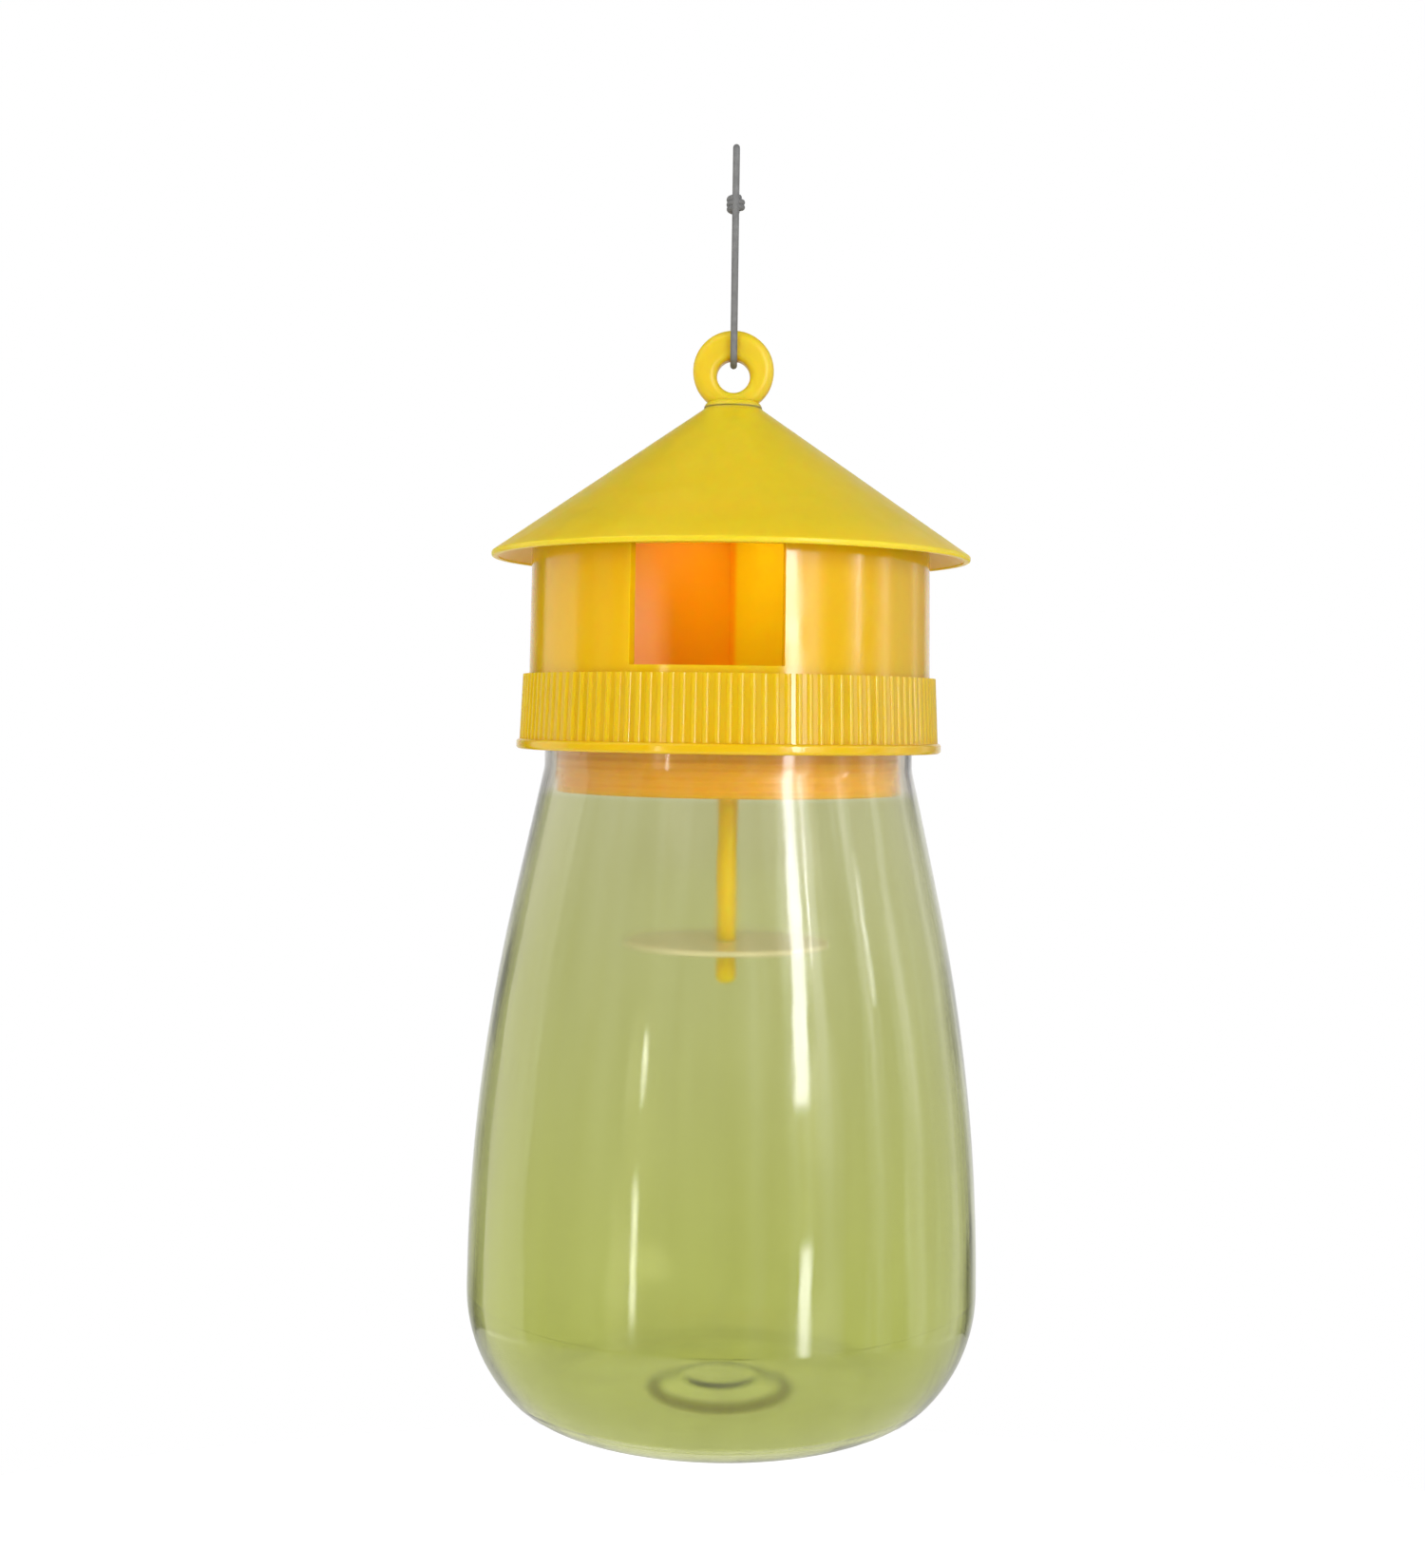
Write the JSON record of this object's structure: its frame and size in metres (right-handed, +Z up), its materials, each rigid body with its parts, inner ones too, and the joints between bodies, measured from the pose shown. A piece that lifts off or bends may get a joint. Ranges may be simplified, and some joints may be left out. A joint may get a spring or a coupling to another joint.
{
  "type": "wasp trap",
  "caption": "Hanging wasp trap: conical roof with an eye and cord loop, windowed screw-on entrance ring, funnel, bait stem with a loose disc, and a clear pear-shaped bottle.",
  "frame": {"origin": "middle of the cord loop where the branch goes through it; the trap hangs below", "axes": "+Z up along the trap's own axis, the eye's hole along Y, the first window faces -Y, six degrees towards -X"},
  "size_m": [0.0952, 0.0952, 0.2356],
  "materials": {
    "cord": "fine twisted grey polyester cord, matte",
    "roof_plastic": "thin moulded yellow polypropylene, glossy, slightly translucent",
    "collar_plastic": "moulded golden yellow polypropylene, glossy, slightly translucent",
    "inner_plastic": "moulded yellow polypropylene, satin, slightly translucent",
    "disc_plastic": "pale clear plastic",
    "gasket_rubber": "soft pale rubber",
    "bottle_plastic": "clear blown plastic, yellow-green tint, glossy"
  },
  "bodies": {
    "root": {"hanging_cord": "cord", "cord_knot": "cord"},
    "lid": {"roof": "roof_plastic", "entrance_body": "collar_plastic", "baffle": "inner_plastic", "bait_stem": "inner_plastic", "stem_retainer": "inner_plastic", "funnel": "inner_plastic"},
    "disc": {"bait_disc": "disc_plastic"},
    "seal": {"rim_gasket": "gasket_rubber"},
    "bottle": {"bottle": "bottle_plastic"}
  },
  "joints": [
    {"name": "trap_swing", "type": "hinge", "parent": "root", "child": "lid", "pos_m": [0, 0, -0.03725], "axis": [0, 1, 0], "range_deg": [-45, 45]},
    {"name": "bait_disc_slide", "type": "slide", "parent": "lid", "child": "disc", "axis": [0, 0, 1], "range_m": [0, 0.0275]},
    {"name": "bottle_turn", "type": "hinge", "parent": "lid", "child": "seal", "pos_m": [0, 0, -0.10015], "axis": [0, 0, -1], "range_deg": [0, 360]},
    {"name": "bottle_travel", "type": "slide", "parent": "seal", "child": "bottle", "axis": [0, 0, -1], "range_m": [0, 0.0043]}
  ],
  "couplings": [
    {"joint": "bottle_travel", "follows": "bottle_turn", "m_per_rad": 0.00066845}
  ]
}
